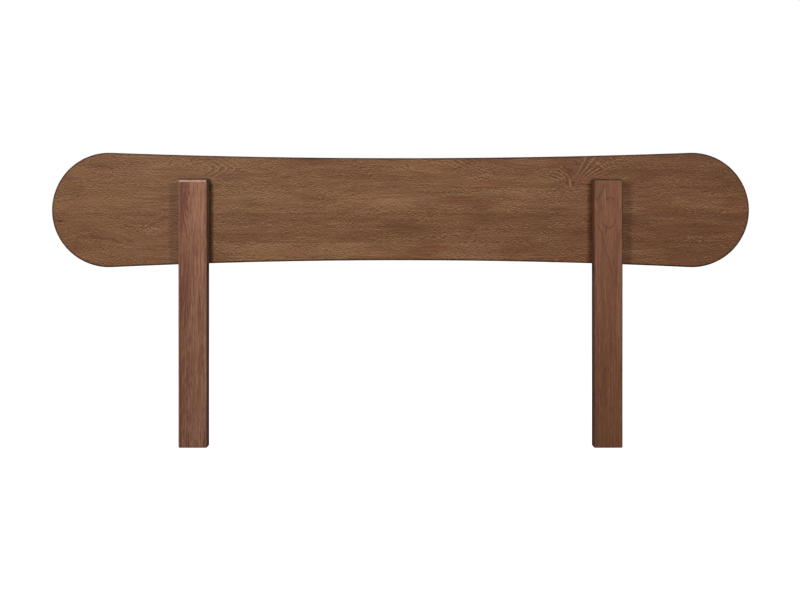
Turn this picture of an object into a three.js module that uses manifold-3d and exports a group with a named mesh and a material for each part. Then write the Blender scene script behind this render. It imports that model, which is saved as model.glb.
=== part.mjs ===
// A timber bed headboard. A flat board with round ends and a slim waist is glued up from four staves,
// and two square-cut posts are doweled to the side of it that faces the wall.
// Millimetres, +Z up. +X runs along the board, -Y faces the wall and +Y faces the bed.
// The origin is on the floor, under the middle of the whole headboard.

import * as THREE from "three";
import { mergeVertices } from "three/addons/utils/BufferGeometryUtils.js";
import Module from "manifold-3d";

// Overall
const overallHeight = 755; // floor to the highest point of the round ends

// Board
const boardLength = 1800;
const boardEndHeight = 296; // across each round end
const boardTopDip = 14; // how far the top edge falls to the middle
const boardBottomRise = 18; // how far the bottom edge rises to the middle
const boardThickness = 28;
const boardEdgeRadius = 4;
const staveJointHeights = [-83, -9, 59]; // glue lines, from the board's centre line
const staveNames = ["bottom_stave", "lower_stave", "upper_stave", "top_stave"];

// Posts
const postWidth = 74;
const postDepth = 40;
const postSpacing = 1060; // centre to centre
const postLapOnTopStave = 18; // how far the posts reach above the highest glue line
const postCornerRadius = 4;
const postEndEasing = 3;

// Dowels
const dowelDiameter = 10;
const dowelLength = 40;
const dowelDepthInBoard = 15;
const dowelColumnSpacing = 36;
const dowelFluteCount = 12;
const dowelFluteDepth = 0.5;
const dowelChamfer = 1.5;

// Clearances
const glueLine = 0.2; // between faces that are glued together
const dowelRadialGap = 0.3;
const dowelEndGap = 1;

// Smoothness
const capSteps = 40;
const sweepSteps = 12;
const edgeSteps = 3;
const cornerSteps = 4;
const holeSides = 24;

// Places that follow from the dimensions
const boardCentreZ = overallHeight - boardEndHeight / 2;
const depthOverall = postDepth + glueLine + boardThickness;
const postWallY = -depthOverall / 2;
const postBedY = postWallY + postDepth;
const boardWallY = postBedY + glueLine;
const boardBedY = boardWallY + boardThickness;
const postTopZ = boardCentreZ + Math.max(...staveJointHeights) + postLapOnTopStave;
const dowelMiddleY = boardWallY + dowelDepthInBoard - dowelLength / 2;

// The outline is a round cap at each end, and a long shallow sweep above and below, tangent to both.
const capRadius = boardEndHeight / 2;
const capCentreX = boardLength / 2 - capRadius;
const topSweep = sweepWithDip(boardTopDip);
const bottomSweep = sweepWithDip(boardBottomRise);

const quarter = Math.PI / 2;

const wasm = await Module();
wasm.setup();

// A closed three.js geometry as a manifold-3d solid.
function solidOf(geometry) {
  const bare = geometry.index ? geometry.toNonIndexed() : geometry.clone();
  bare.deleteAttribute("normal");
  bare.deleteAttribute("uv");
  const merged = mergeVertices(bare, 1e-4);
  return new wasm.Manifold(
    new wasm.Mesh({
      numProp: 3,
      vertProperties: merged.attributes.position.array,
      triVerts: new Uint32Array(merged.index.array),
    }),
  );
}

// A manifold-3d solid as a three.js geometry.
function geometryOf(solid) {
  const mesh = solid.getMesh();
  return new THREE.BufferGeometry()
    .setAttribute("position", new THREE.BufferAttribute(mesh.vertProperties, 3))
    .setIndex(new THREE.BufferAttribute(mesh.triVerts, 1));
}

// The sweep that is tangent to both caps and comes nearer to the centre line by dip in the middle.
// tilt is how far round its own circle it has gone when it meets a cap.
function sweepWithDip(dip) {
  const waistHalf = capRadius - dip;
  const radius = (capCentreX ** 2 + waistHalf ** 2 - capRadius ** 2) / (2 * dip);
  const centre = waistHalf + radius;
  return { radius, centre, tilt: Math.atan2(capCentreX, centre) };
}

// How far a sweep is from the board's centre line, at a distance x from the middle.
function sweepHeightAt(sweep, x) {
  return sweep.centre - Math.sqrt(sweep.radius ** 2 - x ** 2);
}

// Points along an arc, without its last one, which is the first of the next arc.
function arcPoints(centreX, centreY, radius, from, to, steps) {
  const points = [];
  for (let i = 0; i < steps; i++) {
    const angle = from + ((to - from) * i) / steps;
    points.push(
      new THREE.Vector2(centreX + radius * Math.cos(angle), centreY + radius * Math.sin(angle)),
    );
  }
  return points;
}

// The board's outline, with its centre line at zero.
function boardOutline() {
  const { centre: above, radius: topRadius, tilt: topTilt } = topSweep;
  const { centre: below, radius: bottomRadius, tilt: bottomTilt } = bottomSweep;
  const up = quarter;
  const down = -quarter;
  return new THREE.Shape([
    ...arcPoints(capCentreX, 0, capRadius, down - bottomTilt, up + topTilt, capSteps),
    ...arcPoints(0, above, topRadius, down + topTilt, down - topTilt, sweepSteps),
    ...arcPoints(-capCentreX, 0, capRadius, up - topTilt, 3 * quarter + bottomTilt, capSteps),
    ...arcPoints(0, -below, bottomRadius, up + bottomTilt, up - bottomTilt, sweepSteps),
  ]);
}

// The whole board as one solid, before it is cut into staves.
function wholeBoard() {
  const geometry = new THREE.ExtrudeGeometry(boardOutline(), {
    depth: boardThickness - 2 * boardEdgeRadius,
    bevelThickness: boardEdgeRadius,
    bevelSize: boardEdgeRadius,
    bevelOffset: -boardEdgeRadius,
    bevelSegments: edgeSteps,
  });
  geometry.rotateX(Math.PI / 2);
  geometry.translate(0, boardBedY - boardEdgeRadius, boardCentreZ);
  return solidOf(geometry);
}

// A slab between two heights from the board's centre line, wider and deeper than the board.
function slabBetween(low, high) {
  const margin = boardThickness;
  const slab = new THREE.BoxGeometry(boardLength + margin, boardThickness + margin, high - low);
  slab.translate(0, (boardWallY + boardBedY) / 2, boardCentreZ + (low + high) / 2);
  return solidOf(slab);
}

// A rectangle with round corners, centred on zero.
function roundRectangle(width, height, radius) {
  const x = width / 2 - radius;
  const y = height / 2 - radius;
  return new THREE.Shape([
    ...arcPoints(x, y, radius, 0, quarter, cornerSteps),
    new THREE.Vector2(x, y + radius),
    ...arcPoints(-x, y, radius, quarter, 2 * quarter, cornerSteps),
    new THREE.Vector2(-x - radius, y),
    ...arcPoints(-x, -y, radius, 2 * quarter, 3 * quarter, cornerSteps),
    new THREE.Vector2(-x, -y - radius),
    ...arcPoints(x, -y, radius, 3 * quarter, 4 * quarter, cornerSteps),
    new THREE.Vector2(x + radius, -y),
  ]);
}

// A post, upright on the floor, with eased ends.
function wholePost(centreX) {
  const section = roundRectangle(postWidth, postDepth, postCornerRadius);
  const geometry = new THREE.ExtrudeGeometry(section, {
    depth: postTopZ - 2 * postEndEasing,
    bevelThickness: postEndEasing,
    bevelSize: postEndEasing,
    bevelOffset: -postEndEasing,
    bevelSegments: edgeSteps,
  });
  geometry.translate(centreX, (postWallY + postBedY) / 2, postEndEasing);
  return solidOf(geometry);
}

// Heights of the dowel rows: the middle of each stave that the post covers from edge to edge,
// which is every stave but the top one.
function dowelHeights() {
  const lowEdges = [-sweepHeightAt(bottomSweep, postSpacing / 2), ...staveJointHeights];
  return staveJointHeights.map((highEdge, i) => boardCentreZ + (lowEdges[i] + highEdge) / 2);
}

// Where the dowels of one post stand, row by row from the bottom.
function dowelPlaces(centreX) {
  const columns = [-dowelColumnSpacing / 2, dowelColumnSpacing / 2];
  return dowelHeights().flatMap((z) => columns.map((x) => ({ x: centreX + x, z })));
}

// A dowel's cross-section, with flutes that let air and glue out of the hole.
function flutedSection() {
  const crown = dowelDiameter / 2;
  const points = [];
  for (let i = 0; i < 2 * dowelFluteCount; i++) {
    const angle = (Math.PI * i) / dowelFluteCount;
    const radius = i % 2 === 0 ? crown : crown - dowelFluteDepth;
    points.push(new THREE.Vector2(radius * Math.cos(angle), radius * Math.sin(angle)));
  }
  return new THREE.Shape(points);
}

// A fluted dowel with chamfered ends, lying along Y across the joint between post and board.
function dowel(place) {
  const flutes = new THREE.ExtrudeGeometry(flutedSection(), {
    depth: dowelLength,
    bevelEnabled: false,
  });
  flutes.rotateX(Math.PI / 2);
  flutes.translate(place.x, boardWallY + dowelDepthInBoard, place.z);
  const endRadius = dowelDiameter / 2 - dowelChamfer;
  const wideRadius = dowelDiameter / 2 + dowelChamfer; // clear of the crowns
  const wideEnd = dowelLength / 2 - (wideRadius - endRadius);
  const envelope = new THREE.LatheGeometry(
    [
      new THREE.Vector2(0, -dowelLength / 2),
      new THREE.Vector2(endRadius, -dowelLength / 2),
      new THREE.Vector2(wideRadius, -wideEnd),
      new THREE.Vector2(wideRadius, wideEnd),
      new THREE.Vector2(endRadius, dowelLength / 2),
      new THREE.Vector2(0, dowelLength / 2),
    ],
    2 * dowelFluteCount,
  );
  envelope.translate(place.x, dowelMiddleY, place.z);
  return solidOf(flutes).intersect(solidOf(envelope));
}

// The hole that a dowel needs, blind in the post and in the board.
function dowelHole(place) {
  const length = dowelLength + 2 * dowelEndGap;
  const radius = dowelDiameter / 2 + dowelRadialGap;
  const geometry = new THREE.CylinderGeometry(radius, radius, length, holeSides);
  geometry.translate(place.x, dowelMiddleY, place.z);
  return solidOf(geometry);
}

const boardTimber = new THREE.MeshStandardMaterial({ color: 0x76543d, roughness: 0.6, metalness: 0 });
const postTimber = new THREE.MeshStandardMaterial({ color: 0x7f5949, roughness: 0.55, metalness: 0 });
const dowelTimber = new THREE.MeshStandardMaterial({ color: 0xcaa67c, roughness: 0.7, metalness: 0 });

const headboard = new THREE.Group();

function addPiece(name, solid, material) {
  const mesh = new THREE.Mesh(geometryOf(solid), material);
  mesh.name = name;
  headboard.add(mesh);
}

const sides = [
  { name: "left", centreX: -postSpacing / 2 },
  { name: "right", centreX: postSpacing / 2 },
];

// Board, stave by stave, drilled for every dowel.
const allPlaces = sides.flatMap((side) => dowelPlaces(side.centreX));
let drilledBoard = wholeBoard();
for (const place of allPlaces) drilledBoard = drilledBoard.subtract(dowelHole(place));
staveNames.forEach((name, i) => {
  const isLowest = i === 0;
  const isHighest = i === staveNames.length - 1;
  const low = isLowest ? -boardEndHeight : staveJointHeights[i - 1] + glueLine / 2;
  const high = isHighest ? boardEndHeight : staveJointHeights[i] - glueLine / 2;
  addPiece(name, drilledBoard.intersect(slabBetween(low, high)), boardTimber);
});

// Posts and their dowels.
for (const side of sides) {
  let post = wholePost(side.centreX);
  dowelPlaces(side.centreX).forEach((place, i) => {
    post = post.subtract(dowelHole(place));
    addPiece(`${side.name}_dowel_${i + 1}`, dowel(place), dowelTimber);
  });
  addPiece(`${side.name}_post`, post, postTimber);
}

export default headboard;
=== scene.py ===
"""The looks of the timber bed headboard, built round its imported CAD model.

The staves and the posts are rebuilt with fine round edges and procedural timber. The dowels inside
keep their CAD shapes. Metres, +Z up, -Y towards the wall, as in the CAD.
"""

import math

import bmesh
import bpy
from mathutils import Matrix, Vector, noise


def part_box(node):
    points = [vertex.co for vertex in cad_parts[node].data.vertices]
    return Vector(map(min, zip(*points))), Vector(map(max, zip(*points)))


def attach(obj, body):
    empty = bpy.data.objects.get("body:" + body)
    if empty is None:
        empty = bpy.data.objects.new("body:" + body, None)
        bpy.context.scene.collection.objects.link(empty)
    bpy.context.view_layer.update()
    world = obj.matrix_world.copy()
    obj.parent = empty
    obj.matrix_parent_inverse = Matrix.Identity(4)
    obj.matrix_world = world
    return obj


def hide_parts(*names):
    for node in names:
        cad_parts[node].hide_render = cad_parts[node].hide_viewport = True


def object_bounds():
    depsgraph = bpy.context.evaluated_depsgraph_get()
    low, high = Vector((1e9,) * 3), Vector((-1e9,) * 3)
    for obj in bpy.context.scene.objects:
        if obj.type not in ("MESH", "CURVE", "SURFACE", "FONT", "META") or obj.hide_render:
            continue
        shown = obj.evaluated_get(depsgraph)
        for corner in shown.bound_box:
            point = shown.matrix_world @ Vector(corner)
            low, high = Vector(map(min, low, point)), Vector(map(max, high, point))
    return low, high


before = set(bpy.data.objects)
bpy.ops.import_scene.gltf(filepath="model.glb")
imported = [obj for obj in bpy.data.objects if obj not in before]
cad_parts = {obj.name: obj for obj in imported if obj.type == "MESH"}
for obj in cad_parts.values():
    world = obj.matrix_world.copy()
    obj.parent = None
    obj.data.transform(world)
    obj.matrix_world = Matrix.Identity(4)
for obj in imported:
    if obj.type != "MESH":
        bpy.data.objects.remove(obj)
cad_low, cad_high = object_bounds()

MM = 0.001

# ---------------------------------------------------------------- places, from the frame

STAVES = ["bottom_stave", "lower_stave", "upper_stave", "top_stave"]
POSTS = ["left_post", "right_post"]
DOWELS = sorted(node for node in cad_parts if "dowel" in node)


def joined_box(nodes):
    """The lowest and highest corners of several CAD nodes together."""
    boxes = [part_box(node) for node in nodes]
    low = Vector(min(box[0][i] for box in boxes) for i in range(3))
    high = Vector(max(box[1][i] for box in boxes) for i in range(3))
    return low, high


def height_in_the_middle(node, pick):
    """The highest or lowest point of a CAD node half way along the board."""
    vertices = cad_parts[node].data.vertices
    return pick(v.co.z for v in vertices if abs(v.co.x) < 1 * MM)


board_low, board_high = joined_box(STAVES)
board_centre_z = (board_low.z + board_high.z) / 2
cap_radius = (board_high.z - board_low.z) / 2
cap_centre_x = board_high.x - cap_radius
top_dip = board_high.z - height_in_the_middle("top_stave", max)
bottom_rise = height_in_the_middle("bottom_stave", min) - board_low.z
glue_heights = [
    (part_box(below)[1].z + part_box(above)[0].z) / 2 for below, above in zip(STAVES, STAVES[1:])
]

# ---------------------------------------------------------------- sizes of the fine surface

BOARD_EDGE = 4 * MM
BOARD_EDGE_STEPS = 8
CAP_STEPS = 120
SWEEP_STEPS = 72
POST_CORNER = 4 * MM
POST_CORNER_STEPS = 10
POST_END = 3 * MM
POST_END_STEPS = 6
POST_END_BAND = 0.8 * MM  # with the easing of the end, less than the corner radius
EDGE_SHADE_BAND = 1.6 * MM  # how far the painted edge shade runs onto the flat face
SANDING = 0.07  # how unevenly the round edges were sanded, as a share of their radius
SANDING_LENGTH = 60 * MM  # over which that changes
CRISP_ANGLE = math.radians(32)  # flat faces that meet at more than this keep a sharp line
JOINT_HAIRLINE = 0.02 * MM  # between two glued staves
BEYOND = 1.0  # metres past the board, where a cut takes nothing away
HOLE_CLEARANCE = 0.3 * MM
HOLE_END_GAP = 1 * MM
HOLE_SIDES = 48

BARK_POCKET = Vector((-0.8785, 0, -0.0285))  # from the middle of the board
BARK_POCKET_SIZE = Vector((5.2, 1.3, 1.35)) * MM

# ---------------------------------------------------------------- shapes


def arc(centre, radius, start, end, steps, outward=1):
    """Points along an arc, each with its outward normal and no painted edge shade of its own.

    The last point is left to the next arc.
    """
    found = []
    for i in range(steps):
        angle = start + (end - start) * i / steps
        ray = Vector((math.cos(angle), math.sin(angle)))
        found.append((Vector(centre) + radius * ray, outward * ray, 0))
    return found


def edge_shade_at(share):
    """How strong a round edge's painted shade is, from one face (share 0) round to the other (share
    1).
    """
    return 0.6 + 0.4 * math.sin(math.pi * share)


def sweep(dip):
    """Radius, centre height and tilt of the shallow arc that dips between the two caps."""
    waist = cap_radius - dip
    radius = (cap_centre_x**2 + waist**2 - cap_radius**2) / (2 * dip)
    centre = waist + radius
    return radius, centre, math.atan2(cap_centre_x, centre)


def board_outline():
    """The board's outline about its own middle: two caps and two sweeps."""
    up, down = math.pi / 2, -math.pi / 2
    top_radius, above, top_tilt = sweep(top_dip)
    bottom_radius, below, bottom_tilt = sweep(bottom_rise)
    right = arc((cap_centre_x, 0), cap_radius, down - bottom_tilt, up + top_tilt, CAP_STEPS)
    top = arc((0, above), top_radius, down + top_tilt, down - top_tilt, SWEEP_STEPS, -1)
    left = arc((-cap_centre_x, 0), cap_radius, up - top_tilt, 3 * up + bottom_tilt, CAP_STEPS)
    bottom = arc((0, -below), bottom_radius, up + bottom_tilt, up - bottom_tilt, SWEEP_STEPS, -1)
    return right + top + left + bottom


def round_rectangle(low, high, radius, steps):
    """A rectangle with round corners, as points with outward normals and painted edge shade at the
    corners.
    """
    quarter = math.pi / 2
    corners = [
        (high.x - radius, high.y - radius),
        (low.x + radius, high.y - radius),
        (low.x + radius, low.y + radius),
        (high.x - radius, low.y + radius),
    ]
    outline = []
    for i, centre in enumerate(corners):
        start = Vector((math.cos(i * quarter), math.sin(i * quarter)))
        end = Vector((-start.y, start.x))
        middle = Vector(centre)
        outline.append((middle + radius * start - EDGE_SHADE_BAND * end, start, 0))
        for step in range(steps + 1):
            angle = (i + step / steps) * quarter
            ray = Vector((math.cos(angle), math.sin(angle)))
            outline.append((middle + radius * ray, ray, edge_shade_at(step / steps)))
        outline.append((middle + radius * end - EDGE_SHADE_BAND * start, end, 0))
    return outline


def rounded_slab(outline, low, high, edge, steps, band, to_space):
    """A closed slab between two depths with round edges.

    Its "edge" attribute, which masks the painted edge shade, is near 1 along every edge and falls to 0
    over the band next to it.
    """
    rise = [(edge + band, 0, 0)]
    for i in range(steps + 1):
        angle = math.pi / 2 * i / steps
        rise.append((edge * (1 - math.sin(angle)), edge * (1 - math.cos(angle)), edge_shade_at(i / steps)))
    rise.append((0, edge + band, 0))
    rings = [(inset, low + depth, edge_shade) for inset, depth, edge_shade in rise]
    rings += [(inset, high - depth, edge_shade) for inset, depth, edge_shade in reversed(rise)]
    shape = bmesh.new()
    edge_layer = shape.verts.layers.float.new("edge")
    loops = []
    for inset, depth, ring_edge_shade in rings:
        loop = []
        for point, normal, edge_shade in outline:
            where = Vector((point.x, point.y, depth)) / SANDING_LENGTH
            inset_here = inset * (1 + SANDING * noise.noise(where))
            flat = point - normal * inset_here
            vertex = shape.verts.new(to_space(flat.x, flat.y, depth))
            vertex[edge_layer] = max(edge_shade, ring_edge_shade)
            loop.append(vertex)
        loops.append(loop)
    count = len(outline)
    for lower, upper in zip(loops, loops[1:]):
        for i in range(count):
            j = (i + 1) % count
            shape.faces.new((lower[i], lower[j], upper[j], upper[i]))
    shape.faces.new(loops[0])
    shape.faces.new(loops[-1])
    bmesh.ops.recalc_face_normals(shape, faces=shape.faces)
    return shape


def keep_between(shape, low_z, high_z):
    """Cuts a closed shape at two heights, keeps what is between them and closes the cuts."""
    for height, outward in ((low_z, -1), (high_z, 1)):
        everything = shape.verts[:] + shape.edges[:] + shape.faces[:]
        cut = bmesh.ops.bisect_plane(
            shape,
            geom=everything,
            plane_co=(0, 0, height),
            plane_no=(0, 0, outward),
            clear_outer=True,
        )
        edges = [part for part in cut["geom_cut"] if isinstance(part, bmesh.types.BMEdge)]
        if edges:
            bmesh.ops.edgenet_fill(shape, edges=edges)
    bmesh.ops.recalc_face_normals(shape, faces=shape.faces)


def add_piece(name, shape):
    """The bmesh as an object in the scene."""
    mesh = bpy.data.meshes.new(name)
    shape.to_mesh(mesh)
    shape.free()
    piece = bpy.data.objects.new(name, mesh)
    bpy.context.scene.collection.objects.link(piece)
    return piece


def carve(piece, cutter_shape):
    """Takes the cutter's volume out of a piece."""
    cutter = add_piece("cutter", cutter_shape)
    modifier = piece.modifiers.new("carve", "BOOLEAN")
    modifier.operation = "DIFFERENCE"
    modifier.solver = "EXACT"
    modifier.object = cutter
    depsgraph = bpy.context.evaluated_depsgraph_get()
    carved = bpy.data.meshes.new_from_object(piece.evaluated_get(depsgraph))
    piece.modifiers.clear()
    piece.data = carved
    bpy.data.objects.remove(cutter)


def dowel_holes(dowels):
    """A cutter with a hole for each of these dowels, which lie along Y."""
    shape = bmesh.new()
    for dowel in dowels:
        low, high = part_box(dowel)
        radius = (high.x - low.x) / 2 + HOLE_CLEARANCE
        rings = []
        for y in (low.y - HOLE_END_GAP, high.y + HOLE_END_GAP):
            ring = []
            for i in range(HOLE_SIDES):
                angle = 2 * math.pi * i / HOLE_SIDES
                x = (low.x + high.x) / 2 + radius * math.cos(angle)
                z = (low.z + high.z) / 2 + radius * math.sin(angle)
                ring.append(shape.verts.new((x, y, z)))
            rings.append(ring)
        for i in range(HOLE_SIDES):
            j = (i + 1) % HOLE_SIDES
            shape.faces.new((rings[0][i], rings[0][j], rings[1][j], rings[1][i]))
        shape.faces.new(rings[0])
        shape.faces.new(rings[1])
    bmesh.ops.recalc_face_normals(shape, faces=shape.faces)
    return shape


def bark_pocket():
    """A cutter for the small bark pocket near the left end, pointed to the left."""
    shape = bmesh.new()
    bmesh.ops.create_icosphere(shape, subdivisions=4, radius=1)
    middle = Vector((BARK_POCKET.x, board_low.y, board_centre_z + BARK_POCKET.z))
    for vertex in shape.verts:
        x, y, z = vertex.co
        fullness = 0.62 + 0.38 * x
        bend = 0.45 * (1 - x * x)
        vertex.co = middle + Vector(
            (
                x * BARK_POCKET_SIZE.x,
                y * BARK_POCKET_SIZE.y * fullness,
                (z * fullness - bend - 0.35 * x) * BARK_POCKET_SIZE.z,
            )
        )
    return shape


def dress(piece, material):
    """The material, with smooth shading on round edges and flat shading on flat faces."""
    piece.data.shade_smooth()
    piece.data.set_sharp_from_angle(angle=CRISP_ANGLE)
    weighted = piece.modifiers.new("weighted normals", "WEIGHTED_NORMAL")
    weighted.keep_sharp = True
    piece.data.materials.clear()
    piece.data.materials.append(material)


def make_stave(node, low_z, high_z):
    """The part of the board between two heights, drilled for its dowels."""
    shape = rounded_slab(
        board_outline(),
        board_low.y,
        board_high.y,
        BOARD_EDGE,
        BOARD_EDGE_STEPS,
        EDGE_SHADE_BAND,
        lambda u, v, depth: Vector((u, depth, board_centre_z + v)),
    )
    keep_between(shape, low_z, high_z)
    stave = add_piece(node + "_timber", shape)
    stave_low, stave_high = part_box(node)
    inside = [d for d in DOWELS if stave_low.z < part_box(d)[0].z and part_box(d)[1].z < stave_high.z]
    if inside:
        carve(stave, dowel_holes(inside))
    if low_z < board_centre_z + BARK_POCKET.z < high_z:
        carve(stave, bark_pocket())
    return stave


def make_post(node):
    """A post with round corners and eased ends, drilled for its dowels."""
    low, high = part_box(node)
    shape = rounded_slab(
        round_rectangle(low, high, POST_CORNER, POST_CORNER_STEPS),
        low.z,
        high.z,
        POST_END,
        POST_END_STEPS,
        POST_END_BAND,
        lambda u, v, depth: Vector((u, v, depth)),
    )
    post = add_piece(node + "_timber", shape)
    side = node.split("_")[0]
    carve(post, dowel_holes([d for d in DOWELS if d.startswith(side)]))
    return post


# ---------------------------------------------------------------- a short hand for shader nodes


def from_srgb(red, green, blue):
    """A colour as it looks on a screen, 0 to 255, as linear numbers. None here is near black."""
    return (*(((c / 255 + 0.055) / 1.055) ** 2.4 for c in (red, green, blue)), 1)


class Graph:
    """Adds nodes to one tree. Values may be numbers, vectors or another node's output."""

    def __init__(self, tree):
        self.tree = tree
        tree.nodes.clear()

    def add(self, kind, inputs=(), **settings):
        """A new node. Its inputs are given by name or number, its settings by name."""
        node = self.tree.nodes.new("ShaderNode" + kind)
        for name, value in settings.items():
            setattr(node, name, value)
        for key, value in dict(inputs).items():
            if isinstance(value, bpy.types.NodeSocket):
                self.tree.links.new(value, node.inputs[key])
            else:
                node.inputs[key].default_value = value
        return node

    def math(self, operation, a, b=0.0, c=0.0):
        return self.add("Math", {0: a, 1: b, 2: c}, operation=operation).outputs[0]

    def total(self, *values):
        whole = values[0]
        for value in values[1:]:
            whole = self.math("ADD", whole, value)
        return whole

    def times(self, a, b):
        return self.math("MULTIPLY", a, b)

    def weighted(self, *pairs):
        """The sum of each value times its weight."""
        return self.total(*(self.times(value, weight) for value, weight in pairs))

    def scaled(self, vector, by):
        return self.add("VectorMath", {0: vector, 1: by}, operation="MULTIPLY").outputs[0]

    def moved(self, vector, by):
        return self.add("VectorMath", {0: vector, 1: by}, operation="ADD").outputs[0]

    def parts(self, vector):
        return self.add("SeparateXYZ", {0: vector}).outputs

    def vector(self, x, y, z):
        return self.add("CombineXYZ", {0: x, 1: y, 2: z}).outputs[0]

    def varied(self, place, along, across, detail=2.0, roughness=0.5):
        """Noise about 0, mostly within 0.25 of it, with cells of this length and width."""
        vector = self.scaled(place, (1 / along, 1 / across, 1 / across))
        inputs = {"Vector": vector, "Scale": 1.0, "Detail": detail, "Roughness": roughness}
        noise_value = self.add("TexNoise", inputs).outputs["Fac"]
        return self.math("SUBTRACT", noise_value, 0.5)

    def pushed(self, place, seeded, along, across, by):
        """A place pushed sideways across the grain, unevenly, by less than half of this distance."""
        vector = self.scaled(seeded, (1 / along, 1 / across, 1 / across))
        colour = self.add("TexNoise", {"Vector": vector, "Scale": 1.0, "Detail": 1.5}).outputs["Color"]
        push = self.moved(colour, (-0.5, -0.5, -0.5))
        return self.moved(place, self.scaled(push, (0, by, by)))

    def ramp(self, value, low, high, to_low=0.0, to_high=1.0, smooth=True):
        """From one value at low to another at high, and constant beyond them."""
        inputs = {"Value": value, 1: low, 2: high, 3: to_low, 4: to_high}
        kind = "SMOOTHSTEP" if smooth else "LINEAR"
        return self.add("MapRange", inputs, interpolation_type=kind, clamp=True).outputs[0]

    def mix(self, share, a, b, blend="MIX"):
        """Colour a where the share is 0, and a blended with b where it is 1."""
        node = self.add("Mix", data_type="RGBA", blend_type=blend, clamp_factor=True)
        for key, value in ((0, share), (6, a), (7, b)):
            if isinstance(value, bpy.types.NodeSocket):
                self.tree.links.new(value, node.inputs[key])
            else:
                node.inputs[key].default_value = value
        return node.outputs[2]

    def toned(self, tone, dark, middle, light):
        """The colour for a tone: dark at 0, middle at 0.5, light at 1."""
        colour = self.mix(self.ramp(tone, 0.0, 0.5, smooth=False), dark, middle)
        return self.mix(self.ramp(tone, 0.5, 1.0, smooth=False), colour, light)

    def near(self, place, centre, size):
        """1 at the centre, falling smoothly to 0 at the distance size along each axis."""
        away = self.moved(place, [-c for c in centre])
        away = self.scaled(away, [1 / s for s in size])
        gap = self.add("VectorMath", {0: away}, operation="LENGTH").outputs["Value"]
        return self.ramp(gap, 0.0, 1.0, 1.0, 0.0)

    def distance(self, place, centre):
        """How far a place on the flat face is from a centre."""
        away = self.scaled(self.moved(place, (-centre[0], -centre[1], 0)), (1, 1, 0))
        return self.add("VectorMath", {0: away}, operation="LENGTH").outputs["Value"]

    def stroke(self, place, points, width):
        """1 on a line through these points of the flat face, falling to 0 at the distance width."""
        nearest = None
        for start, end in zip(points, points[1:]):
            run = Vector(end) - Vector(start)
            away = self.scaled(self.moved(place, (-start[0], -start[1], 0)), (1, 1, 0))
            step = (*(run / run.length_squared), 0)
            reach = self.add("VectorMath", {0: away, 1: step}, operation="DOT_PRODUCT")
            reach = self.ramp(reach.outputs["Value"], 0.0, 1.0, smooth=False)
            back = self.scaled(self.vector(reach, reach, 0.0), (-run.x, -run.y, 0))
            gap = self.distance(self.moved(away, back), (0, 0))
            nearest = gap if nearest is None else self.math("MINIMUM", nearest, gap)
        return self.ramp(nearest, 0.0, width, 1.0, 0.0)

    def strokes(self, place, lines):
        """The sum of several strokes, each given as its points, its width and its strength."""
        drawn = [(self.stroke(place, points, width), strength) for points, width, strength in lines]
        return self.weighted(*drawn)

    def turned(self, place, centre, size, degrees):
        """Turns the grain's coordinates about a centre, most of all at the centre itself."""
        share = self.near(place, centre, size)
        angle = self.times(share, math.radians(degrees))
        inputs = {"Vector": place, "Center": centre, "Angle": angle}
        return self.add("VectorRotate", inputs, rotation_type="Z_AXIS").outputs[0]


# ---------------------------------------------------------------- timber

FLAT = 400.0  # mm; far more than any thickness, so that a patch goes right through a piece
PORE_LEVELS = (0.08, 0.24)  # the noise above which a pore or a fleck starts, and where it is whole
END_GRAIN_SHARE = 0.6  # how strongly end grain takes its darker tint


def grain_coordinates(graph, along, across, middle, seed):
    """Millimetres along the grain, across it, and through the thickness, from a middle point."""
    objects = graph.add("TexCoord").outputs["Object"]
    millimetres = graph.scaled(objects, (1000, 1000, 1000))
    millimetres = graph.moved(millimetres, [-1000 * m for m in middle])
    x, y, z = graph.parts(millimetres)
    axes = {"x": x, "y": y, "z": z}
    place = graph.vector(axes[along], axes[across], y)
    return place, graph.moved(place, (731.0 * seed, 197.0 * seed, 53.0 * seed))


def wandering_grain(graph, plain, seeded, turns, wander, ripple):
    """Coordinates that follow the grain: turned in a few spots, then pushed about at two scales."""
    place = plain
    for u, v, length, width, degrees in turns:
        place = graph.turned(place, (u, v, 0), (length, width, FLAT), degrees)
    shift = graph.add("VectorMath", {0: seeded, 1: plain}, operation="SUBTRACT").outputs[0]
    place = graph.moved(place, shift)
    place = graph.pushed(place, seeded, *wander)
    return graph.pushed(place, seeded, *ripple)


def fine_lines(graph, quantity, spacing, low=0.1, base=0.3):
    """Lines one spacing apart where a quantity rises: thinner for a higher low, and -base between."""
    wave = graph.math("SINE", graph.times(quantity, 2 * math.pi / spacing))
    return graph.math("SUBTRACT", graph.ramp(wave, low, 1.0), base)


def inner_side_share(graph, node):
    """1 on the side of a post that faces the other post."""
    normal = graph.parts(graph.add("TexCoord").outputs["Normal"])[0]
    towards_middle = 1.0 if node == "left_post" else -1.0
    return graph.ramp(graph.times(normal, towards_middle), 0.6, 0.9)


def with_end_grain(graph, colour, along, tint):
    """The tint on faces that cut across the grain."""
    normal = graph.parts(graph.add("TexCoord").outputs["Normal"])["xyz".index(along)]
    share = graph.ramp(graph.math("ABSOLUTE", normal), 0.55, 0.95)
    return graph.mix(graph.times(share, END_GRAIN_SHARE), colour, tint, "MULTIPLY")


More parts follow.
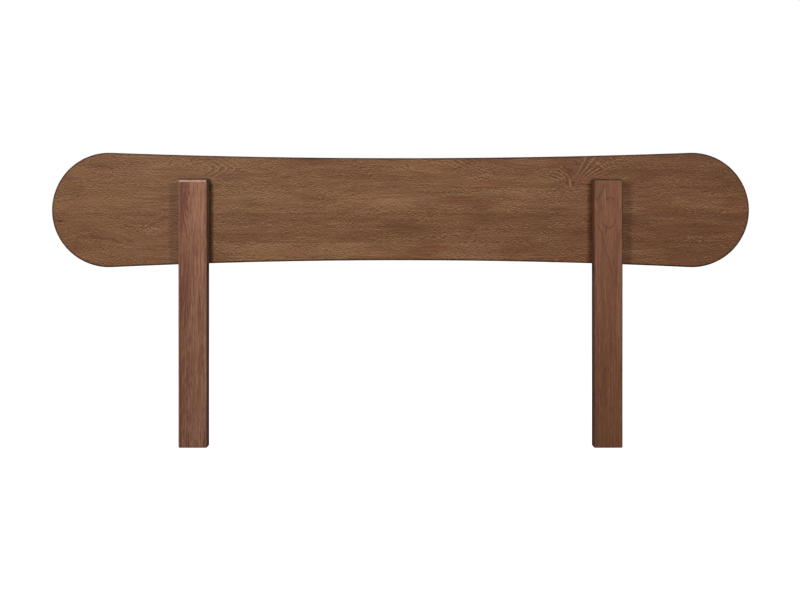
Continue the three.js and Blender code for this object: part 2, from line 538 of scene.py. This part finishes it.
def finish_timber(material, graph, colour, pores, streaks, smoothest):
    """Oiled timber: roughness and relief from the pores and streaks, with a soft sheen."""
    roughness = graph.total(smoothest, graph.weighted((pores, 0.22), (streaks, 0.16)))
    height = graph.math("SUBTRACT", graph.times(streaks, 0.35), pores)
    bump = graph.add("Bump", {"Height": height, "Strength": 0.35, "Distance": 0.15 * MM})
    shader = graph.add(
        "BsdfPrincipled",
        {
            "Base Color": colour,
            "Roughness": roughness,
            "Normal": bump.outputs[0],
            "IOR": 1.46,
            "Specular IOR Level": 0.4,
        },
    )
    output = graph.add("OutputMaterial")
    graph.tree.links.new(shader.outputs[0], output.inputs[0])
    return material


def new_material(name):
    """An empty material and its graph."""
    material = bpy.data.materials.new(name)
    material.use_nodes = True
    return material, Graph(material.node_tree)


def with_painted_edge_shade(graph, colour, place, start, tint):
    """Painted shade along the round edges, where they turn away from the light, uneven along them.

    A higher start, from 0 to 1, keeps the dark closer to the middle of the round edge.
    """
    edge = graph.add("Attribute", attribute_name="edge").outputs["Fac"]
    edge = graph.ramp(edge, start, 1.0, smooth=False)
    uneven = graph.varied(place, 40, 14, detail=3)
    share = graph.times(edge, graph.ramp(uneven, -0.25, 0.2, 0.45, 1.0))
    return graph.mix(share, colour, tint, "MULTIPLY")


# The board's own colours, from its darkest grain to its lightest, and the tints laid over them, some
# of them painted shade
BOARD_DARK = from_srgb(100, 56, 23)
BOARD_MIDDLE = from_srgb(130, 86, 50)
BOARD_LIGHT = from_srgb(162, 118, 80)
REDDER = (1.0, 0.87, 0.85, 1)
OLIVE = (0.94, 0.98, 0.82, 1)
WARMER = (1.0, 0.95, 0.89, 1)
BOARD_END_TINT = (0.55, 0.5, 0.47, 1)
# painted shade: the board's round edges darkened where they turn from the light
BOARD_EDGE_SHADE = (0.24, 0.17, 0.13, 1)
GLUE = from_srgb(70, 38, 20)
# painted shade for the corners between the board and the posts
PAINTED_CORNER_SHADE = from_srgb(46, 30, 22)
BARK = from_srgb(38, 20, 13)
BOARD_ROUGHNESS = 0.58

# How the board's grain wanders and ripples: how far apart along it and across it, and how far (mm)
BOARD_WANDER = (240, 60, 14)
BOARD_RIPPLE = (30, 10, 0.9)
BUSY_RANGE = (0.5, 1.2)  # how strongly the short flecks show, from calm spots to busy ones

# How far in millimetres painted shade reaches from each post onto the board, and its strength beside
# the post (above the post it is 1)
POST_CORNER_SHADES = {"left_post": (6.5, 0.8), "right_post": (4.6, 0.4)}

# Each stave: a seed, its tone at the left end, in the middle and at the right end (0 dark, 1 light)
STAVE_TONES = {
    "bottom_stave": (1.3, 0.50, 0.55, 0.28),
    "lower_stave": (2.9, 0.50, 0.37, 0.28),
    "upper_stave": (4.1, 0.58, 0.52, 0.36),
    "top_stave": (5.7, 0.54, 0.44, 0.28),
}

# Patches of tone on each stave: centre along the board and above its middle, length, width, how much
# lighter, how much redder. The first four are in millimetres.
STAVE_PATCHES = {
    "bottom_stave": [
        (-170, -110, 170, 40, 0.16, 0.0),
        (-470, -125, 90, 30, -0.12, 0.0),
        (45, -120, 120, 50, -0.08, 0.4),
        (330, -115, 120, 40, -0.14, 0.1),
        (600, -115, 120, 40, 0.12, 0.0),
    ],
    "lower_stave": [
        (0, -45, 95, 40, -0.16, 0.0),
        (-330, -30, 150, 30, -0.10, 0.2),
        (-800, -60, 70, 45, -0.10, 0.5),
        (-150, -45, 90, 28, 0.08, 0.0),
        (560, -30, 140, 26, -0.10, 0.1),
    ],
    "upper_stave": [
        (-45, 18, 140, 30, 0.22, -0.2),
        (-610, 30, 75, 34, -0.12, -1.0),
        (-390, 20, 60, 30, -0.14, -0.4),
        (210, 15, 90, 26, -0.14, 0.3),
        (740, 20, 130, 40, 0.18, 0.0),
    ],
    "top_stave": [
        (-775, 112, 60, 26, -0.16, 0.9),
        (-690, 122, 60, 20, -0.18, 0.4),
        (-230, 128, 130, 18, -0.20, 0.6),
        (-110, 95, 90, 24, -0.10, 0.2),
        (60, 105, 160, 34, 0.10, -0.2),
        (430, 132, 90, 18, -0.16, 0.6),
        (372, 84, 50, 34, 0.14, -0.5),
    ],
}

# Where the board's grain turns: centre along the board and above its middle, length, width, degrees.
# The first four are in millimetres. The grain runs straight in the staves that aren't here.
STAVE_TURNS = {
    "lower_stave": [(-720, -60, 190, 70, 24), (600, -60, 110, 50, 14)],
    "top_stave": [
        (400, 95, 60, 50, -30),
        (500, 105, 80, 60, 36),
        (170, 118, 120, 60, -24),
        (-470, 110, 110, 40, -16),
    ],
}


def board_timber(node):
    """Mid-brown timber with the grain along X, short light flecks and dark pores."""
    material, graph = new_material(node + "_timber")
    seed, *drift = STAVE_TONES[node]
    plain, seeded = grain_coordinates(graph, "x", "z", (0, board_low.y, board_centre_z), seed)
    along, height, depth = graph.parts(plain)
    turns = STAVE_TURNS.get(node, [])
    place = wandering_grain(graph, plain, seeded, turns, BOARD_WANDER, BOARD_RIPPLE)
    busy = graph.ramp(graph.varied(seeded, 120, 30), -0.15, 0.13, *BUSY_RANGE)
    grain, pores, streaks = board_grain(graph, place, busy)
    tone = graph.total(board_drift(graph, along, *drift), grain)
    redness = board_redness(graph, seeded, along, busy)
    for x, z, length, width, lift, red in STAVE_PATCHES[node]:
        share = graph.near(plain, (x, z, 0), (length, width, FLAT))
        tone = graph.total(tone, graph.times(share, lift))
        redness = graph.total(redness, graph.times(share, red))
    if node == "top_stave":
        lift, red = top_stave_figures(graph, plain, seeded)
        tone = graph.total(tone, lift)
        redness = graph.total(redness, red)

    colour = graph.toned(tone, BOARD_DARK, BOARD_MIDDLE, BOARD_LIGHT)
    colour = graph.mix(graph.ramp(redness, 0.0, 1.0), colour, REDDER, "MULTIPLY")
    colour = graph.mix(graph.ramp(redness, 0.0, -1.0), colour, OLIVE, "MULTIPLY")
    far_out = graph.ramp(graph.math("ABSOLUTE", along), 380, 850)
    colour = graph.mix(far_out, colour, WARMER, "MULTIPLY")
    colour = with_glue_lines(graph, colour, plain, height)
    colour = with_painted_corner_shade(graph, colour, plain, along, height, depth)
    colour = with_end_grain(graph, colour, "x", BOARD_END_TINT)
    colour = with_painted_edge_shade(graph, colour, plain, 0.0, BOARD_EDGE_SHADE)
    if node == "lower_stave":
        colour = with_bark(graph, colour, plain)
    return finish_timber(material, graph, colour, pores, streaks, BOARD_ROUGHNESS)


def board_grain(graph, place, busy):
    """How much the grain lightens the board at each spot, and its pores and streaks by themselves.

    The short flecks show most where the timber is busy, and the long streaks where it is calm.
    """
    mottle = graph.varied(place, 170, 24, detail=2)
    bands = graph.varied(place, 280, 8)
    streaks = graph.varied(place, 70, 1.7, detail=1)
    specks = graph.varied(place, 4.8, 1.8, detail=0)
    beside = graph.varied(graph.moved(place, (0, 2.4, 0)), 4.8, 1.8, detail=0)
    flecks = graph.varied(graph.moved(place, (37, 71, 13)), 7.0, 1.9, detail=1)
    flecks = graph.ramp(flecks, *PORE_LEVELS)
    pores = graph.varied(graph.moved(place, (91, 17, 5)), 10, 1.5, detail=1)
    pores = graph.ramp(pores, *PORE_LEVELS)
    texture = graph.weighted((specks, 1.5), (beside, -1.5), (flecks, 0.42), (pores, -0.4))
    grain = graph.weighted(
        (mottle, 0.7),
        (bands, 0.4),
        (streaks, graph.math("SUBTRACT", 1.9, busy)),
        (texture, busy),
        (graph.math("SUBTRACT", busy, 1.5), 0.05),
    )
    return grain, pores, streaks


def board_drift(graph, along, left_tone, middle_tone, right_tone):
    """The tone that changes slowly from the left end to the middle and on to the right end."""
    left_half = graph.ramp(along, -800, -60, left_tone, middle_tone)
    right_half = graph.ramp(along, 60, 800, 0.0, right_tone - middle_tone)
    return graph.total(left_half, right_half)


def board_redness(graph, seeded, along, busy):
    """How reddish the timber is, or how olive where it is below 0.

    It is redder to the right, and in calm spots.
    """
    uneven = graph.varied(seeded, 85, 20)
    calm = graph.math("SUBTRACT", 0.85, busy)
    rise = graph.ramp(along, -700, 700, -0.25, 0.35, smooth=False)
    return graph.total(graph.weighted((uneven, 4.0), (calm, 0.6)), rise)


def with_bark(graph, colour, plain):
    """Dark bark in and round its pocket."""
    pocket = (BARK_POCKET.x / MM, BARK_POCKET.z / MM - 0.4, 0)
    share = graph.near(plain, pocket, (7.5, 2.6, 5.0))
    return graph.mix(graph.ramp(share, 0.05, 0.5), colour, BARK)


def with_glue_lines(graph, colour, plain, height):
    """A faint dark line, stronger in places, where two staves are glued together."""
    strength = graph.ramp(graph.varied(plain, 60, 60), -0.15, 0.15, 0.12, 0.6)
    for glue_height in glue_heights:
        middle = (glue_height - board_centre_z) / MM
        away = graph.math("ABSOLUTE", graph.math("SUBTRACT", height, middle))
        share = graph.times(graph.ramp(away, 0.2, 1.3, 1.0, 0.0), strength)
        colour = graph.mix(share, colour, GLUE)
    return colour


def with_painted_corner_shade(graph, colour, plain, along, height, depth):
    """Dark painted shade in the corner between the board's wall face and each post."""
    uneven = graph.ramp(graph.varied(plain, 30, 30), -0.2, 0.1, 0.6, 1.0)
    strength = graph.times(graph.ramp(depth, 0.5, 2.0, 1.0, 0.0), uneven)
    for node in POSTS:
        reach, at_sides = POST_CORNER_SHADES[node]
        low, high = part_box(node)
        middle = (low.x + high.x) / 2 / MM
        half = (high.x - low.x) / 2 / MM
        beside = graph.math("SUBTRACT", along, middle)
        beside = graph.math("SUBTRACT", graph.math("ABSOLUTE", beside), half)
        above = graph.math("SUBTRACT", height, (high.z - board_centre_z) / MM)
        away = graph.math("MAXIMUM", beside, above)
        share = graph.ramp(away, 2.0, reach, 1.0, 0.0)
        share = graph.times(share, graph.ramp(above, -3.0, 0.0, at_sides, 1.0))
        colour = graph.mix(graph.times(share, strength), colour, PAINTED_CORNER_SHADE)
    return colour


# Lines in the swirl: their points along the board and above its middle, their width, all in
# millimetres, and how much lighter they are
SWIRL_LINES = [
    ([(421, 111), (431, 106), (434, 93), (442, 86)], 4.0, -0.6),
    ([(428, 86), (430, 72), (434, 64)], 3.6, -0.55),
    ([(445, 74), (445, 62)], 4.6, -0.5),
    ([(450, 125), (456, 117), (464, 119), (472, 114)], 3.0, -0.6),
    ([(437.5, 77), (438, 62)], 3.4, 0.75),
]
# Lines that are as much redder: down from the heart of the swirl, and under its fan
SWIRL_RED_LINES = [
    ([(444, 104), (448, 88), (450, 74)], 6.0, 1.2),
    ([(478, 79), (499, 85), (512, 89)], 4.5, 1.2),
]
SWIRL_HEART = (440, 101, 0)
FAN_FOOT = (440, 59)  # where the lines of the fan would meet


def top_stave_figures(graph, plain, seeded):
    """How much the top stave's figures lighten it, and how much redder they make it."""
    loose = graph.pushed(plain, graph.scaled(seeded, (1, 1, 0)), 14, 14, 3.0)
    breaks = graph.ramp(graph.varied(seeded, 9, 6, detail=1), -0.16, 0.1)
    heart = graph.near(loose, SWIRL_HEART, (6, 9, FLAT))
    lift = graph.total(
        swirl_left(graph, plain, loose, breaks),
        graph.times(heart, -0.9),
        graph.strokes(loose, SWIRL_LINES),
        swirl_fan(graph, loose, breaks),
        nested_arches(graph, plain, loose, breaks),
        slanting_flecks(graph, plain, loose, breaks),
    )
    return lift, graph.strokes(loose, SWIRL_RED_LINES)


def swirl_left(graph, plain, loose, breaks):
    """Fine rings that bend down towards the swirl from its left."""
    rings = fine_lines(graph, graph.distance(loose, (386, 53)), 9.0)
    where = graph.near(plain, (404, 92, 0), (46, 34, FLAT))
    return graph.times(graph.times(rings, where), graph.times(breaks, 1.2))


def swirl_fan(graph, loose, breaks):
    """Thin light lines that fan out to the upper right of the swirl, further apart the steeper."""
    foot_x, foot_z = FAN_FOOT
    u, v, _ = graph.parts(graph.moved(loose, (-foot_x, -foot_z, 0)))
    angle = graph.math("MAXIMUM", graph.math("ARCTAN2", v, u), 0.1)
    turn = graph.math("ADD", graph.math("LOGARITHM", angle, math.e), -0.057)
    lines = fine_lines(graph, turn, 0.21, low=0.3, base=0.25)
    radius = graph.distance(loose, FAN_FOOT)
    where = graph.times(graph.ramp(radius, 26, 42), graph.ramp(radius, 80, 112, 1.0, 0.0))
    spread = graph.times(
        graph.ramp(angle, math.radians(16), math.radians(22)),
        graph.ramp(angle, math.radians(60), math.radians(70), 1.0, 0.0),
    )
    where = graph.times(where, spread)
    return graph.times(graph.times(lines, where), graph.ramp(breaks, 0.0, 1.0, 0.5, 1.4))


def nested_arches(graph, plain, loose, breaks):
    """Thin light lines near the left post, one inside the other, pointing to the right."""
    u, v, _ = graph.parts(graph.moved(loose, (6, -107, 0)))
    square = graph.math("MULTIPLY_ADD", v, v, 16.0)
    bend = graph.math("MULTIPLY_ADD", graph.math("SQRT", square), 1.8, u)
    lines = fine_lines(graph, bend, 21.0, low=0.66, base=0.14)
    where = graph.near(plain, (-466, 108, 0), (80, 40, FLAT))
    return graph.times(graph.times(lines, where), graph.ramp(breaks, 0.0, 1.0, 0.6, 1.5))


def slanting_flecks(graph, plain, loose, breaks):
    """Light flecks that run down to the right from the top edge."""
    u, v, _ = graph.parts(loose)
    lines = fine_lines(graph, graph.math("MULTIPLY_ADD", u, 0.5, v), 10.5, low=0.3)
    where = graph.near(plain, (155, 126, 0), (85, 26, FLAT))
    return graph.times(graph.times(lines, where), graph.times(breaks, 1.3))


# Each post: a seed and its own colours, from its darkest grain to its lightest
POST_TONES = {
    "left_post": (7.3, from_srgb(108, 60, 38), from_srgb(136, 88, 64), from_srgb(162, 113, 86)),
    "right_post": (8.9, from_srgb(102, 56, 34), from_srgb(126, 77, 48), from_srgb(151, 103, 77)),
}

# Where a post's grain turns: height above the board's middle, distance to the right of the post's
# middle, length, width, degrees. The first four are in millimetres.
POST_TURNS = {
    "left_post": [(-60, -30, 210, 36, 13)],
    "right_post": [(-60, 4, 180, 30, -6)],
}

# How each post's inner side is darkened with painted shade, beside the board and below it, how its
# edges are darkened with painted shade, and how strong its streaks are
POST_INNER_SIDE_SHADES = {"left_post": (0.60, 0.70, 0.80, 1), "right_post": (0.86, 0.86, 0.84, 1)}
POST_INNER_SIDE_SHADES_BELOW = {"left_post": (0.38, 0.25, 0.15, 1), "right_post": (0.44, 0.44, 0.42, 1)}
# painted shade on each post's round edges, and how far round the edge it starts
POST_EDGE_SHADES = {"left_post": (0.4, 0.33, 0.29, 1), "right_post": (0.24, 0.2, 0.18, 1)}
POST_EDGE_SHADE_STARTS = {"left_post": 0.68, "right_post": 0.85}
POST_STREAKS = {"left_post": 1.0, "right_post": 0.62}
POST_FOOT_TINT = (1.0, 1.10, 1.14, 1)
POST_TOP_TINT = (1.0, 0.95, 0.86, 1)
POST_END_TINT = (0.5, 0.45, 0.42, 1)
# painted highlight for the left post's top and left edges
PAINTED_EDGE_HIGHLIGHT = from_srgb(206, 160, 134)
POST_ROUGHNESS = 0.55
INNER_SIDE_DULLNESS = 0.4  # how much rougher the inner sides are

# How a post's grain wanders and ripples: how far apart along it and across it, and how far (mm)
POST_WANDER = (230, 34, 14)
POST_RIPPLE = (60, 12, 1.6)

# Lines in the posts: their points above the board's middle and to the right of the post's, their
# width, all in millimetres, and how much lighter they are
LEFT_POST_LINES = [
    ([(46, -17), (30, -22), (14, -27)], 4.0, -0.35),
    ([(60, 26), (10, 27), (-20, 24)], 4.0, 0.35),
]
RIGHT_POST_CURL = [(26, -4), (31, 0), (32.5, 8), (29, 13), (24.5, 12.5)]
RIGHT_POST_BOW = [(-30, -16), (-38, -12.5), (-44, -6), (-45.5, 1), (-43, 9), (-36, 15), (-27, 19)]
RIGHT_POST_LINES = [
    (RIGHT_POST_CURL, 3.6, -0.5),
    ([(63, -11), (48, -15), (35, -22), (27, -29)], 6.0, -0.4),
    (RIGHT_POST_BOW, 3.6, -0.42),
    ([(-40, -27), (-52, -20.5), (-68, -15), (-100, -7), (-132, 3), (-165, 9)], 3.4, -0.34),
    ([(-50, 31), (-90, 27), (-140, 22), (-190, 20)], 3.6, -0.25),
]


def post_timber(node):
    """Reddish timber with the grain up the post and long soft streaks."""
    material, graph = new_material(node + "_timber")
    seed, dark, mid, light = POST_TONES[node]
    low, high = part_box(node)
    middle = ((low.x + high.x) / 2, low.y, board_centre_z)
    plain, seeded = grain_coordinates(graph, "z", "x", middle, seed)
    along, across, _ = graph.parts(plain)
    place = wandering_grain(graph, plain, seeded, POST_TURNS[node], POST_WANDER, POST_RIPPLE)
    grain, pores, streaks = post_grain(graph, place)
    loose = graph.pushed(plain, graph.scaled(seeded, (1, 1, 0)), 18, 12, 2.5)
    if node == "left_post":
        figure = left_post_figure(graph, plain, place, loose)
    else:
        figure = right_post_figure(graph, plain, loose)
    tone = graph.total(graph.times(grain, POST_STREAKS[node]), 0.5, figure)

    colour = graph.toned(tone, dark, mid, light)
    rise = graph.ramp(along, -560, 60, smooth=False)
    tint = graph.mix(rise, POST_FOOT_TINT, POST_TOP_TINT)
    colour = graph.mix(1.0, colour, tint, "MULTIPLY")
    inner_side = inner_side_share(graph, node)
    colour = with_painted_inner_side_shade(graph, colour, node, along, inner_side)
    colour = with_end_grain(graph, colour, "z", POST_END_TINT)
    if node == "left_post":
        colour = with_reddish_left(graph, colour, along, across)
    colour = with_painted_edge_shade(graph, colour, plain, POST_EDGE_SHADE_STARTS[node], POST_EDGE_SHADES[node])
    if node == "left_post":
        top = (high.z - board_centre_z) / MM
        half = (high.x - low.x) / 2 / MM
        colour = with_painted_edge_highlights(graph, colour, plain, top, half)
    roughness = graph.math("MULTIPLY_ADD", inner_side, INNER_SIDE_DULLNESS, POST_ROUGHNESS)
    return finish_timber(material, graph, colour, pores, streaks, roughness)


def post_grain(graph, place):
    """How much the grain lightens a post at each spot, and its pores and streaks by themselves."""
    mottle = graph.varied(place, 150, 20)
    bands = graph.varied(place, 420, 7.0, detail=3, roughness=0.6)
    streaks = graph.varied(place, 120, 2.3)
    specks = graph.varied(place, 22, 1.8, detail=1)
    pores = graph.varied(graph.moved(place, (51, 13, 7)), 16, 1.4, detail=1)
    pores = graph.ramp(pores, *PORE_LEVELS)
    grain = graph.weighted(
        (mottle, 0.7),
        (bands, 1.1),
        (streaks, 2.0),
        (specks, 1.4),
        (pores, -0.25),
    )
    return grain, pores, streaks


def with_painted_inner_side_shade(graph, colour, node, along, inner_side):
    """Painted shade on the inner side, with a second, darker one over it below the board."""
    colour = graph.mix(inner_side, colour, POST_INNER_SIDE_SHADES[node], "MULTIPLY")
    board_foot = (board_low.z + bottom_rise / 2 - board_centre_z) / MM
    below = graph.ramp(along, board_foot - 8, board_foot + 6, 1.0, 0.0)
    return graph.mix(graph.times(inner_side, below), colour, POST_INNER_SIDE_SHADES_BELOW[node], "MULTIPLY")


def with_reddish_left(graph, colour, along, across):
    """The left third is redder, most of all towards the top."""
    share = graph.times(
        graph.ramp(across, -26, 4, 1.0, 0.0),
        graph.ramp(along, -420, 0, 0.15, 1.0),
    )
    return graph.mix(share, colour, REDDER, "MULTIPLY")


def with_painted_edge_highlights(graph, colour, plain, top, half):
    """A painted highlight on the wall face's top edge, and a weaker one on its left edge."""
    along, across, depth = graph.parts(plain)
    in_front = graph.ramp(depth, 1.5, 4.0, 1.0, 0.0)
    uneven = graph.ramp(graph.varied(plain, 8, 9), -0.2, 0.15, 0.65, 1.0)
    at_top = graph.ramp(along, top - 6.0, top - 4.4)
    at_top = graph.times(at_top, graph.ramp(across, half - 4, half - 1.5, 1.0, 0.0))
    at_left = graph.ramp(across, 2.4 - half, 4.2 - half, 0.45, 0.0)
    share = graph.times(graph.math("MAXIMUM", at_top, at_left), graph.times(in_front, uneven))
    return graph.mix(share, colour, PAINTED_EDGE_HIGHLIGHT)


def left_post_figure(graph, plain, place, loose):
    """Darker on the left with slanting lines, and paler streaks to the right of them; the paler right
    is partly the timber's own tone and partly a painted sheen.
    """
    along, across, _ = graph.parts(plain)
    fan = fine_lines(graph, graph.parts(place)[1], 6.5)
    in_fan = graph.near(plain, (-70, -18, 0), (150, 30, FLAT))
    corner = graph.near(plain, (30, -27, 0), (85, 17, FLAT))
    lower = graph.near(plain, (-215, -18, 0), (140, 26, FLAT))
    beside_top = graph.near(plain, (0, -25, 0), (60, 20, FLAT))
    # the pale upper right: partly the timber's own tone and partly a painted sheen
    paler = graph.near(plain, (15, 6, 0), (115, 27, FLAT))
    rim = graph.stroke(plain, [(-40, -31), (-500, -31)], 6.0)
    knots = graph.math(
        "MAXIMUM",
        graph.near(plain, (-70, -18, 0), (5, 4, FLAT)),
        graph.near(plain, (-70, 24, 0), (5, 4, FLAT)),
    )
    return graph.total(
        # lighter to the right: partly the timber's own tone and partly a painted sheen
        graph.ramp(across, -36, 10, -0.2, 0.14, smooth=False),
        # painted shade: darker towards the foot, lighter towards the top
        graph.ramp(along, -400, 20, -0.06, 0.05, smooth=False),
        graph.weighted(
            (fan, graph.times(in_fan, 0.45)),
            (corner, -0.45),
            (lower, -0.3),
            (beside_top, -0.35),
            (paler, 0.3),
            (rim, -0.22),
            (knots, -0.4),
        ),
        graph.strokes(loose, LEFT_POST_LINES),
    )


def right_post_figure(graph, plain, loose):
    """A small curl, a bow hanging below it, and grain lines that sweep round the bow."""
    along, across, _ = graph.parts(plain)
    blotch = graph.near(plain, (3, -16.5, 0), (11, 8, FLAT))
    inside = graph.near(plain, (-10, 0, 0), (42, 22, FLAT))
    return graph.total(
        graph.strokes(loose, RIGHT_POST_LINES),
        graph.weighted((blotch, -0.3), (inside, 0.1)),
        # painted shade: darker towards the foot, lighter towards the top
        graph.ramp(along, -450, 40, -0.15, 0.1, smooth=False),
        graph.ramp(across, 14, 34, 0.0, 0.14),
    )


BEECH_DARK = from_srgb(168, 128, 88)
BEECH_MIDDLE = from_srgb(204, 168, 126)
BEECH_LIGHT = from_srgb(226, 196, 158)
DOWEL_ROUGHNESS = 0.62


def dowel_timber():
    """Pale beech with the grain along the dowel."""
    material, graph = new_material("dowel_timber")
    place, _ = grain_coordinates(graph, "y", "x", (0, 0, 0), 0)
    streaks = graph.varied(place, 30, 1.2, detail=3)
    pores = graph.ramp(graph.varied(place, 4, 0.5, detail=1), 0.1, 0.25)
    tone = graph.total(0.5, graph.weighted((streaks, 1.6), (pores, -0.5)))
    colour = graph.toned(tone, BEECH_DARK, BEECH_MIDDLE, BEECH_LIGHT)
    return finish_timber(material, graph, colour, pores, streaks, DOWEL_ROUGHNESS)


# ---------------------------------------------------------------- stage, light and camera

CAMERA_DISTANCE = 3.48  # from the board's wall face
CAMERA_X = -1.3 * MM  # the photographer stood a little to the left of the middle
CAMERA_LENS = 60.7
CAMERA_SHIFT = -0.1125  # the board stands high in the photo
FLOOR_SIZE = 60
FLOOR_GREY = (0.3, 0.3, 0.3, 1)
FLOOR_GLOW = 0.98
WHITE = (1, 1, 1, 1)
SOFTBOX_SIZE = (0.35, 0.5)
SOFTBOX_HEIGHT = 1.1
WALL_SOFTBOX_X = 1.05
WALL_SOFTBOX_DISTANCE = 2.1
WALL_LEFT_POWER = 23
WALL_RIGHT_POWER = 17
BED_SOFTBOX_X = 2.3
BED_SOFTBOX_DISTANCE = 1.3
BED_POWER = 34


def make_floor():
    """A pale floor that fades into the background."""
    shape = bmesh.new()
    bmesh.ops.create_grid(shape, x_segments=2, y_segments=2, size=FLOOR_SIZE / 2)
    floor = add_piece("floor", shape)
    floor.location.z = cad_low.z
    floor.visible_diffuse = False
    floor.visible_glossy = False
    material, graph = new_material("floor")
    diffuse = graph.add("BsdfDiffuse", {"Color": FLOOR_GREY})
    glow = graph.add("Emission", {"Color": WHITE, "Strength": FLOOR_GLOW})
    both = graph.add("AddShader", {0: diffuse.outputs[0], 1: glow.outputs[0]})
    output = graph.add("OutputMaterial")
    graph.tree.links.new(both.outputs[0], output.inputs[0])
    floor.data.materials.append(material)


def make_background(from_above, from_below):
    """White to the camera, and a dim fill for everything else, weaker from below."""
    world = bpy.data.worlds.new("studio")
    world.use_nodes = True
    graph = Graph(world.node_tree)
    height = graph.parts(graph.add("TexCoord").outputs["Generated"])[2]
    strength = graph.ramp(height, -0.5, 0.5, from_below, from_above)
    fill = graph.add("Background", {"Color": WHITE, "Strength": strength})
    white = graph.add("Background", {"Color": WHITE, "Strength": 1.0})
    seen = graph.add("LightPath").outputs["Is Camera Ray"]
    both = graph.add("MixShader", {0: seen, 1: fill.outputs[0], 2: white.outputs[0]})
    output = graph.add("OutputWorld")
    graph.tree.links.new(both.outputs[0], output.inputs[0])
    bpy.context.scene.world = world


def add_softbox(name, x, y, power):
    """A softbox at this place, turned towards the middle of the board."""
    light = bpy.data.lights.new(name, "AREA")
    light.shape = "RECTANGLE"
    light.size, light.size_y = SOFTBOX_SIZE
    light.energy = power
    lamp = bpy.data.objects.new(name, light)
    lamp.location = (x, y, SOFTBOX_HEIGHT)
    towards_board = Vector((0, 0, board_centre_z)) - lamp.location
    lamp.rotation_euler = towards_board.to_track_quat("-Z", "Y").to_euler()
    bpy.context.scene.collection.objects.link(lamp)


def make_lights():
    """Two softboxes on the wall side, and two on the bed side that also light the ends."""
    wall_y = board_low.y - WALL_SOFTBOX_DISTANCE
    bed_y = board_high.y + BED_SOFTBOX_DISTANCE
    add_softbox("wall_left", -WALL_SOFTBOX_X, wall_y, WALL_LEFT_POWER)
    add_softbox("wall_right", WALL_SOFTBOX_X, wall_y, WALL_RIGHT_POWER)
    add_softbox("bed_left", -BED_SOFTBOX_X, bed_y, BED_POWER)
    add_softbox("bed_right", BED_SOFTBOX_X, bed_y, BED_POWER)


def make_camera():
    """Level with the middle of the board, square to its wall face."""
    camera = bpy.data.cameras.new("camera")
    camera.lens = CAMERA_LENS
    camera.shift_y = CAMERA_SHIFT
    holder = bpy.data.objects.new("camera", camera)
    holder.location = (CAMERA_X, board_low.y - CAMERA_DISTANCE, board_centre_z)
    holder.rotation_euler = (math.pi / 2, 0, 0)
    bpy.context.scene.collection.objects.link(holder)
    bpy.context.scene.camera = holder


# ---------------------------------------------------------------- the headboard

make_camera()
bpy.context.scene.view_settings.view_transform = "Standard"
make_background(from_above=0.30, from_below=0.06)
make_lights()
make_floor()

cuts = [board_low.z - BEYOND, *glue_heights, board_high.z + BEYOND]
for i, node in enumerate(STAVES):
    stave = make_stave(node, cuts[i] + JOINT_HAIRLINE / 2, cuts[i + 1] - JOINT_HAIRLINE / 2)
    dress(stave, board_timber(node))
    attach(stave, "root")
    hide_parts(node)

for node in POSTS:
    post = make_post(node)
    dress(post, post_timber(node))
    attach(post, "root")
    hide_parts(node)

beech = dowel_timber()
for node in DOWELS:
    for material_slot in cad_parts[node].material_slots:
        material_slot.material = beech
